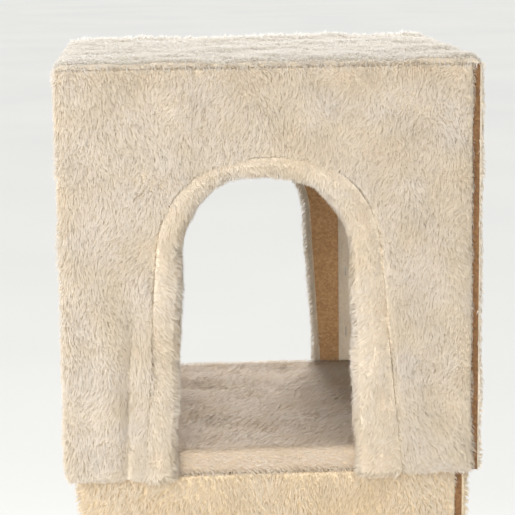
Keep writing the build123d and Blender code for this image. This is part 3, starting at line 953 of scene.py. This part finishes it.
def dress(cabin):
    """All the plush and fleece of one cabin."""
    name = cabin.name
    rng = np.random.default_rng(5)
    fine = name == "upper"
    slot = "plush_cream" if fine else "plush_tan"
    pile, back = (cream_pile, cream_back) if fine else (tan_pile, tan_back)

    for end in ("front", "rear"):
        seen = end == "front"
        plush_view, roll_view = 1 - fine if seen else 2, 2 - seen - fine
        skin, low, high, flat, area = end_cover(cabin, end)
        piece = skin.build(f"{name}_{end}_plush", slot, back)
        points, normals = skin.roots(PLUSH_ROOTS[plush_view], seed=3)
        line = doorway(getattr(cabin, end), 241)
        seam = line + outward(line) * seam_reach(cabin, end, line)[:, None] + (0, cabin.lift)
        gap, away = nearest(points, seam)
        parted = parting(cabin, end, points)
        keep = gap > 0.0007 * parted
        if seen:
            keep &= (points[:, 0] < high[0] - 0.0012) | (rng.random(len(points)) < 0.4)
        points, normals, gap = points[keep], normals[keep], gap[keep]
        away, parted = away[keep], parted[keep]
        comb = down(points, 7, 0.33, 0.07)
        comb += away * 1.1 * (parted * np.clip(1 - gap / 0.006, 0, 1))[:, None]
        lean = 0.98 + 0.10 * waves(points, 0.028, 8) + 0.08 * waves(points, 0.012, 9)
        length = PILE_LENGTH * (1 + 0.10 * waves(points, 0.02, 10))
        length *= 1 - parted * np.clip(0.5 - gap / 0.012, 0, 0.5)
        length *= np.clip(0.6 + (points[:, 2] - cabin.lift) / 0.03, 0.6, 1)
        if seen:
            over = np.clip((0.075 - points[:, 2] + cabin.lift) / 0.03, 0, 1) if fine else 0
            edge = np.clip(0.5 + (high[0] - points[:, 0]) / 0.02, 0.5, 1)
            length *= np.maximum(edge, over)
        if seen and fine:
            height = points[:, 2] - cabin.lift
            aside = points[:, 0] - crease_x(height)
            near = np.exp(-(aside / 0.005) ** 2) * np.clip((CREASE_TOP - height) / 0.05, 0, 1)
            length *= 1 - 0.25 * near
            comb[:, 0] += np.sign(aside) * near * 0.35
            length[(np.abs(aside) < 0.0016) & (height < 0.026)] *= 0.15
        fan = flare(points, normals, low, high)
        furs = [grow(f"{name}_{end}_pile", slot, pile, points, fan, comb, length,
                     PLUSH_BLADE[plush_view], lean, seed=12)]
        if seen:
            half = [grid[::2] for grid in (points, fan, comb, length * 0.68)]
            furs.append(grow(f"{name}_{end}_underpile", slot, pile, *half, 0.0011,
                             lean[::2] * 0.85, seed=13))
        furs.append(sew(f"{name}_{end}_thread", cabin, end, seam))
        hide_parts(f"{name}_{end}_cover")

        skin, length_m = binding(cabin, end)
        piece = skin.build(f"{name}_{end}_roll", slot, back)
        points, normals = skin.roots(ROLL_ROOTS[roll_view], seed=23)
        comb = down(points, 27, 0.35)
        centre = np.array((DOORWAY_X, 0, cabin.lift + getattr(cabin, end).spring * 0.8))
        inward = unit((centre - points) * (1, 0, 1))
        gap, away = nearest(points, seam)
        parted = parting(cabin, end, points)
        joined = (1 - parted) * np.clip(1 - gap / 0.018, 0, 1)
        comb = unit(comb + inward * (0.7 - 0.6 * joined)[:, None])
        comb += inward * 0.5 * (parted * np.clip(1 - gap / 0.005, 0, 1))[:, None]
        lean = 0.9 + 0.12 * waves(points, 0.015, 28) + 0.08 * joined
        fur = grow(f"{name}_{end}_roll_pile", slot, pile, points, normals, comb,
                   0.0088 * (1 - parted * np.clip(0.5 - gap / 0.010, 0, 0.5)),
                   ROLL_BLADE[roll_view], lean, seed=32)
        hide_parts(f"{name}_{end}_binding")

    for side, word in ((-1, "left"), (1, "right")):
        skin, low, high, flat = side_cover(cabin, side)
        piece = skin.build(f"{name}_{word}_plush", slot, back)
        points, normals = skin.roots(130000, seed=43)
        comb = down(points, 47, across=(0, 1, 0))
        flat_nap = 0.25 if side > 0 else 0.14
        lean = 0.95 + flat_nap + 0.16 * waves(points, 0.028, 48)
        fan = flare(points, normals, low, high)
        fur = grow(f"{name}_{word}_pile", slot, pile, points, fan, comb,
                   PILE_LENGTH - 0.012 * flat_nap, 0.0013, lean, seed=52)
        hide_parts(f"{name}_{word}_cover")

        skin, flat = lining(cabin, side)
        piece = skin.build(f"{name}_{word}_fleece", "fleece", fleece)
        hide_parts(f"{name}_{word}_lining")

    skin, flat = floor_cover(cabin)
    piece = skin.build(f"{name}_floor_plush", "floor_plush", painted_shade_floor_back)
    points, normals = skin.roots(470000 if fine else 120000, seed=63)
    swing = 0.25 * waves(points, 0.03, 64)
    foot = np.clip(1 - (points[:, 2] - cabin.lift) / 0.008, 0, 1)
    comb = np.stack((np.cos(swing), np.sin(swing) * 0.6, -0.15 - 1.6 * foot), axis=1)
    lean = 1.02 + 0.04 * waves(points, 0.008, 65, (3.5, 1, 1))
    lean += 0.04 * waves(points, 0.03, 66, (3.0, 1, 1))
    fur = grow(f"{name}_floor_pile", "floor_plush", floor_pile, points, normals, comb,
               0.0075, 0.0007 if fine else 0.0014, lean, seed=72, tufts=0.0007,
               tuft_size=0.004)
    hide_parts(f"{name}_floor_cover")

    if fine:
        skin, low, high, flat = top_cover(cabin)
        piece = skin.build("upper_top_plush", slot, back)
        points, normals = skin.roots(260000, seed=83)
        swing = 0.4 * waves(points, 0.06, 84)
        rim = np.clip(1 - (points[:, 1] + cabin.depth / 2 + PILE - LOOSE) / 0.01, 0, 1)
        comb = np.stack((np.sin(swing), -np.cos(swing), -0.9 * rim), axis=1)
        lean = 1.15 + 0.03 * waves(points, 0.02, 85)
        fan = flare(points, normals, low, high)
        fur = grow("upper_top_pile", slot, painted_light_top_pile, points, fan, comb,
                   0.009, 0.001, lean, seed=92)
        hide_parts("upper_top_cover")


def dress_base():
    """The base's plush, and the rope on the posts."""
    skin = base_cover()
    piece = skin.build("base_plush", "plush_cream", cream_back)
    points, normals = skin.roots(110000, seed=103)
    clear = points[:, 2] > BASE_BOTTOM - 0.001
    for x in (-POST_X, POST_X):
        for y in (-POST_Y, POST_Y):
            clear &= np.hypot(points[:, 0] - x, points[:, 1] - y) > TUBE_R + ROPE + 0.001
    points, normals = points[clear], normals[clear]
    swing = 0.8 * waves(points, 0.06, 104)
    comb = np.stack((np.sin(swing), -np.cos(swing), np.full(len(points), -0.4)), axis=1)
    lean = 1.0 + 0.15 * waves(points, 0.03, 105)
    length = np.clip((points[:, 2] - 0.0025) * 0.85, 0.002, 0.0095)
    fur = grow("base_pile", "plush_cream", cream_pile, points, normals, comb,
               length, 0.0014, lean, seed=112)
    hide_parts("base_cover")
    for across, x in (("left", -POST_X), ("right", POST_X)):
        for deep, y in (("front", -POST_Y), ("rear", POST_Y)):
            low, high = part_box(f"sisal_{deep}_{across}")
            piece = rope(f"rope_{deep}_{across}", x, y, low[2], high[2])
            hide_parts(f"sisal_{deep}_{across}")


def finish_boards():
    """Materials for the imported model's own pieces."""
    board = paint_board("particle_board", (176, 138, 97), (191, 152, 109), (203, 166, 123),
                        (158, 118, 78))
    # A darker copy of the particle board: painted shade for the narrow gap at the right boards and
    # the roof board's edge.
    edge = paint_board("painted_shade_board_edge", (104, 74, 47), (120, 87, 56), (134, 100, 66), (84, 58, 36))
    cardboard = paint_cardboard("cardboard")
    plug = paint_plastic("black_plastic", (16, 16, 17), (34, 34, 35), 0.5, 1200.0)
    rubber = paint_plastic("black_rubber", (20, 19, 18), (44, 42, 40), 0.75, 1600.0)
    zinc = paint_zinc("zinc")
    looks = {"board": board, "cardboard": cardboard, "plug": plug, "foot": rubber, "zinc": zinc}
    for part in frame["record"]["subparts"]:
        piece = bpy.data.objects.get(part["node"])
        look = looks.get(part["material_slot"])
        # The right boards and the roof board take the darker copy, painted shade.
        if part["node"].endswith(("right_board", "roof_board")):
            look = edge
        if piece is not None and look is not None:
            piece.data.materials.clear()
            piece.data.materials.append(look)


# ---------------------------------------------------------------- stage and lights

def add_stage():
    """A wide pale floor."""
    mesh = bpy.data.meshes.new("stage_floor")
    half = 90.0
    mesh.from_pydata([(-half, -half, 0), (half, -half, 0), (half, half, 0), (-half, half, 0)],
                     [], [(0, 1, 2, 3)])
    mesh.materials.append(paint_stage("stage"))
    floor = bpy.data.objects.new("stage_floor", mesh)
    bpy.context.collection.objects.link(floor)


def add_light(name, place, aim_height, size, power, colour=(1.0, 1.0, 1.0), spread=180.0):
    """A square soft light that points at a height on the object's middle line."""
    data = bpy.data.lights.new(name, "AREA")
    data.size = size
    data.spread = math.radians(spread)
    data.energy = power
    data.color = colour
    lamp = bpy.data.objects.new(name, data)
    bpy.context.collection.objects.link(lamp)
    back = unit(np.array(place, float) - (0, 0, aim_height))
    right = unit(np.cross((0, 0, 1), back))
    turn = np.stack((right, np.cross(back, right), back), axis=1)
    lamp.matrix_world = Matrix.Translation(place) @ Matrix(turn.tolist()).to_4x4()


def add_world():
    """Even white light from all round."""
    world = bpy.data.worlds.new("studio")
    world.use_nodes = True
    sky = world.node_tree.nodes["Background"]
    sky.inputs["Color"].default_value = (1.0, 0.995, 0.985, 1.0)
    sky.inputs["Strength"].default_value = 0.92
    bpy.context.scene.world = world


aim_camera()
dress(UPPER)
dress(LOWER)
dress_base()
finish_boards()
add_stage()
add_world()
for lamp in (("key", (-1.6, -2.6, 2.8), 0.9, 2.6, 57.0, (1.0, 0.99, 0.98)),
             ("low", (-1.3, -3.1, 1.25), 0.9, 2.0, 50.0, (1.0, 0.99, 0.98)),
             ("side", (-3.0, -0.6, 1.7), 0.9, 1.6, 22.0),
             ("rear", (0.3, 2.8, 2.1), 0.85, 1.4, 26.0, (1.0, 1.0, 1.0), 70.0)):
    add_light(*lamp)
bpy.context.scene.view_settings.view_transform = "Standard"
